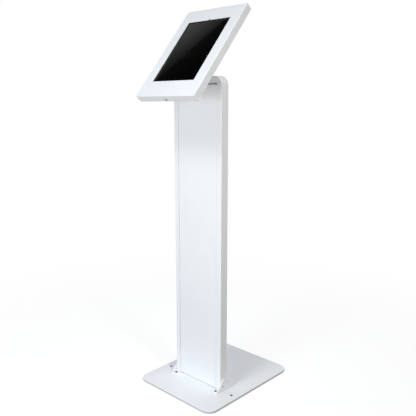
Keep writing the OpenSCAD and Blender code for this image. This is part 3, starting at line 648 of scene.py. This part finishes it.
def makeLock(look):
    origin = np.array(jointOf["lock_turn"]["pos_m"], float)
    along, away = aroundAxis(nodePoints("lock_barrel"), origin, upFace)
    bore, rim, low, high = away.min(), away.max(), along.min(), along.max()
    body = away[along > high - hair].max()
    corners = [(bore, low), (rim, low), (rim, 0.0), (body, 0.0), (body, high), (bore, high)]
    mesh = latheMesh(origin, upFace, softOutline(corners, look["round"]))
    addPiece("lockBezel", [mesh], "lid", "lock_chrome", "lock_barrel")


makeLock(lockBezel)
print("pieces made")


# Camera of the photograph: where it stands, its turn about the vertical and its tilt down, in a square
# picture
view = {
    "place": (1.01532, -1.09633, 0.79071), "turn": 43.58, "down": 10.85,
    "lens": 46.86, "sensor": 36.0, "picture": 416, "clip": (0.05, 60.0),
}
turn, down = np.radians([view["turn"], view["down"]])
forward = np.array([-np.sin(turn) * np.cos(down), np.cos(turn) * np.cos(down), -np.sin(down)])
rightward = np.array([np.cos(turn), np.sin(turn), 0.0])
upward = np.cross(rightward, forward)
camera = bpy.data.objects.new("camera", bpy.data.cameras.new("camera"))
scene.collection.objects.link(camera)
camera.data.lens, camera.data.sensor_width = view["lens"], view["sensor"]
camera.data.clip_start, camera.data.clip_end = view["clip"]
camera.location = view["place"]
camera.rotation_euler = Vector(forward).to_track_quat("-Z", "Y").to_euler()
scene.camera = camera


# What the camera, mirrors and clear pieces look at directly, where the floor and the room show white
def directRay(tree):
    path = tree.nodes.new("ShaderNodeLightPath").outputs
    mirrorOrClear = calc(tree, "MAXIMUM", path["Is Glossy Ray"], path["Is Transmission Ray"])
    return calc(tree, "MAXIMUM", path["Is Camera Ray"], mirrorOrClear)


# Floor: a plain pale sheet that keeps the shadow near the stand and turns into plain white further off
plainWhite = (1.0, 1.0, 1.0, 1.0)
floor = {
    "half": 9.0, "below": 0.0002, "colour": (0.2, 0.2, 0.2, 1.0), "rough": 0.8, "specular": 0.1, "glow": 0.83,
    "shadowNear": 0.35, "shadowFar": 1.5,
}


def makeFloor(look):
    corner = look["half"] * np.array([[-1, -1, 0], [1, -1, 0], [1, 1, 0], [-1, 1, 0]], float)
    mesh = bpy.data.meshes.new("floor")
    mesh.from_pydata((corner - [0, 0, look["below"]]).tolist(), [], [[0, 1, 2, 3]])
    plain = {"Base_Color": look["colour"], "Roughness": look["rough"], "Specular_IOR_Level": look["specular"]}
    material, tree, _, vector = newMaterial("floorSheet", **plain)
    seen = directRay(tree)
    glow = addNode(tree, "ShaderNodeEmission", {"Strength": calc(tree, "MULTIPLY", seen, look["glow"])})
    sheen = tree.nodes["Principled BSDF"].outputs[0]
    lit = addNode(tree, "ShaderNodeAddShader", {0: sheen, 1: glow.outputs[0]})
    white = addNode(tree, "ShaderNodeEmission", {"Color": plainWhite, "Strength": 1.0})
    far = addNode(tree, "ShaderNodeVectorMath", {0: vector}, operation="LENGTH").outputs["Value"]
    away = calc(tree, "MULTIPLY", ramp(tree, far, look["shadowNear"], look["shadowFar"]), seen)
    mixed = addNode(tree, "ShaderNodeMixShader", {0: away, 1: lit.outputs[0], 2: white.outputs[0]})
    tree.links.new(mixed.outputs[0], tree.nodes["Material Output"].inputs["Surface"])
    mesh.materials.append(material)
    material.cycles.emission_sampling = "NONE"
    sheet = bpy.data.objects.new("floor", mesh)
    scene.collection.objects.link(sheet)


makeFloor(floor)


# Light: a pale room with a bright wall on the left, shown white to direct rays, and soft lamps. Those with
# a beam are soft spots: the sideLamp fades towards the top of the enclosure, the plateLamp lights the foot,
# and the floorLamp does the work of a reflector in front of the stand that throws light up under the
# enclosure. The faint innerLamp is light that strays in the column
room = {"even": (0.25, 0.25, 0.25), "leftWall": (0.46, 0.53, 0.68)}
lamps = {
    "frontLamp": {"place": (0.15, -1.75, 0.42), "aim": (0.0, -0.05, 0.5), "size": 0.8,
                  "watts": 13.6, "colour": (0.93, 0.97, 1.0)},
    "keyLamp": {"place": (0.1, -1.6, 2.6), "aim": (0.0, -0.05, 0.4), "size": 0.8,
                "watts": 10.5, "colour": (0.97, 1.0, 1.0)},
    "plateLamp": {"place": (0.1, -1.6, 2.6), "aim": (0.0, -0.15, 0.0), "size": 0.5, "beam": 42.0,
                  "watts": 41.0, "colour": (0.85, 0.93, 1.0)},
    "sideLamp": {"place": (1.9, -0.5, 1.7), "aim": (0.0, -0.05, 0.5), "size": 0.5, "beam": 50.0,
                 "watts": 92.0, "colour": (1.0, 1.0, 0.98)},
    "floorLamp": {"place": (0.2, -1.0, 0.06), "aim": (0.0, -0.07, 0.95), "size": 0.5, "beam": 75.0,
                  "watts": 9.5, "colour": (1.0, 0.86, 0.67)},
    "innerLamp": {"place": (0.0, -0.066, 0.856), "aim": (0.0, -0.048, 0.845), "size": 0.13, "tall": 0.006,
                  "watts": 0.0025, "colour": (1.0, 0.98, 0.9)},
    "backLamp": {"place": (-0.4, 2.3, 0.17), "aim": (0.0, 0.0, 0.6), "size": 1.4, "tall": 0.3,
                 "watts": 17.0, "colour": (1.0, 1.0, 1.0)},
}


def makeRoom(look):
    world = bpy.data.worlds.new("paleRoom")
    scene.world = world
    world.use_nodes = True
    world.cycles.sampling_method = "NONE"
    tree = world.node_tree
    direction = tree.nodes.new("ShaderNodeTexCoord").outputs["Generated"]
    apart = addNode(tree, "ShaderNodeSeparateXYZ", {"Vector": direction}).outputs
    leftward = calc(tree, "MAXIMUM", calc(tree, "MULTIPLY", apart["X"], -1.0), 0.0)
    wall = {0: look["leftWall"], "Scale": leftward}
    glow = addNode(tree, "ShaderNodeVectorMath", wall, operation="SCALE").outputs[0]
    colour = addNode(tree, "ShaderNodeVectorMath", {0: glow, 1: look["even"]}, operation="ADD").outputs[0]
    fill = tree.nodes["Background"]
    tree.links.new(colour, fill.inputs["Color"])
    white = addNode(tree, "ShaderNodeBackground", {"Color": plainWhite, "Strength": 1.0})
    either = {0: directRay(tree), 1: fill.outputs[0], 2: white.outputs[0]}
    mixed = addNode(tree, "ShaderNodeMixShader", either)
    tree.links.new(mixed.outputs[0], tree.nodes["World Output"].inputs["Surface"])


def addLamp(name, look):
    lamp = bpy.data.lights.new(name, "SPOT" if "beam" in look else "AREA")
    lamp.energy, lamp.color = look["watts"], look["colour"]
    if "beam" in look:
        lamp.spot_size, lamp.spot_blend = np.radians(look["beam"]), 1.0
        lamp.shadow_soft_size = look["size"] / 2
    else:
        lamp.shape, lamp.size = "RECTANGLE", look["size"]
        lamp.size_y = look.get("tall", look["size"])
    holder = bpy.data.objects.new(name, lamp)
    scene.collection.objects.link(holder)
    holder.location, holder.visible_glossy = look["place"], False
    ahead = Vector(look["aim"]) - Vector(look["place"])
    holder.rotation_euler = ahead.to_track_quat("-Z", "Y").to_euler()


makeRoom(room)
for name, look in lamps.items():
    addLamp(name, look)


# Two flat cards that only the reflections see: the edge between them draws the slanting line across the
# dark screen, and each card's glow changes away from that line and fades along it. The line, the spot and
# the lengths of the fades are in pixels of the photograph
cards = {
    "lineStart": (220.6, 23.0), "lineEnd": (170.0, 68.0), "darkSpot": (200.0, 62.0),
    "distance": 1.1, "reach": 1.6,
    "fade": {"from": 32.0, "to": 68.0, "left": 0.58},
    "greyCard": {"side": -1, "atLine": 0.1, "away": 0.62, "over": 25.0},
    "blackCard": {"side": 1, "atLine": 0.026, "away": 0.0, "over": 16.0},
}


# The ray through a pixel: where it meets the plane of the glass, and which way the glass turns it back
def mirrored(pixel, glassPoint):
    focal = view["lens"] / view["sensor"] * view["picture"]
    half = view["picture"] / 2
    ray = forward + rightward * (pixel[0] - half) / focal + upward * (half - pixel[1]) / focal
    ray /= np.linalg.norm(ray)
    place = np.array(view["place"])
    hit = place + ray * ((glassPoint - place) @ outOfFace) / (ray @ outOfFace)
    return hit, ray - 2 * (ray @ outOfFace) * outOfFace


def makeCards(look):
    glassPoint = (glassLow + glassHigh) / 2 @ faceAxes + outOfFace * (glassHigh[2] - glassLow[2]) / 2
    hits = [mirrored(look[key], glassPoint) for key in ("lineStart", "lineEnd", "darkSpot")]
    facing = hits[0][1] + hits[1][1]
    facing /= np.linalg.norm(facing)
    stand = glassPoint + facing * look["distance"]
    start, end, dark = (hit + away * ((stand - hit) @ facing) / (away @ facing) for hit, away in hits)
    along = (end - start) / np.linalg.norm(end - start)
    towards = np.cross(facing, along)
    towards *= np.sign((dark - start) @ towards)
    pixel = np.linalg.norm(end - start) / np.hypot(*np.subtract(look["lineEnd"], look["lineStart"]))
    for name in ("greyCard", "blackCard"):
        card, middle = look[name], (start + end) / 2
        near = [middle - along * look["reach"], middle + along * look["reach"]]
        far = [point + towards * card["side"] * look["reach"] for point in near[::-1]]
        mesh = bpy.data.meshes.new(name)
        mesh.from_pydata(np.array(near + far).tolist(), [], [[0, 1, 2, 3]])
        material, tree, _, vector = newMaterial(name)
        fromStart = addNode(tree, "ShaderNodeVectorMath", {0: vector, 1: tuple(start)}, operation="SUBTRACT")
        down, aside = (
            addNode(
                tree, "ShaderNodeVectorMath", {0: fromStart.outputs[0], 1: tuple(axis / pixel)},
                operation="DOT_PRODUCT",
            ).outputs["Value"]
            for axis in (along, towards * card["side"])
        )
        level = ramp(tree, aside, 0.0, card["over"], card["atLine"], card["away"], "LINEAR")
        fall = look["fade"]
        fade = ramp(tree, down, fall["from"], fall["to"], 1.0, fall["left"], "LINEAR")
        glow = addNode(tree, "ShaderNodeEmission", {"Strength": calc(tree, "MULTIPLY", level, fade)})
        tree.links.new(glow.outputs[0], tree.nodes["Material Output"].inputs["Surface"])
        mesh.materials.append(material)
        material.cycles.emission_sampling = "NONE"
        sheet = bpy.data.objects.new(name, mesh)
        scene.collection.objects.link(sheet)
        sheet.visible_camera = sheet.visible_diffuse = False
        sheet.visible_transmission = sheet.visible_shadow = False


makeCards(cards)
print("camera, floor and light set")
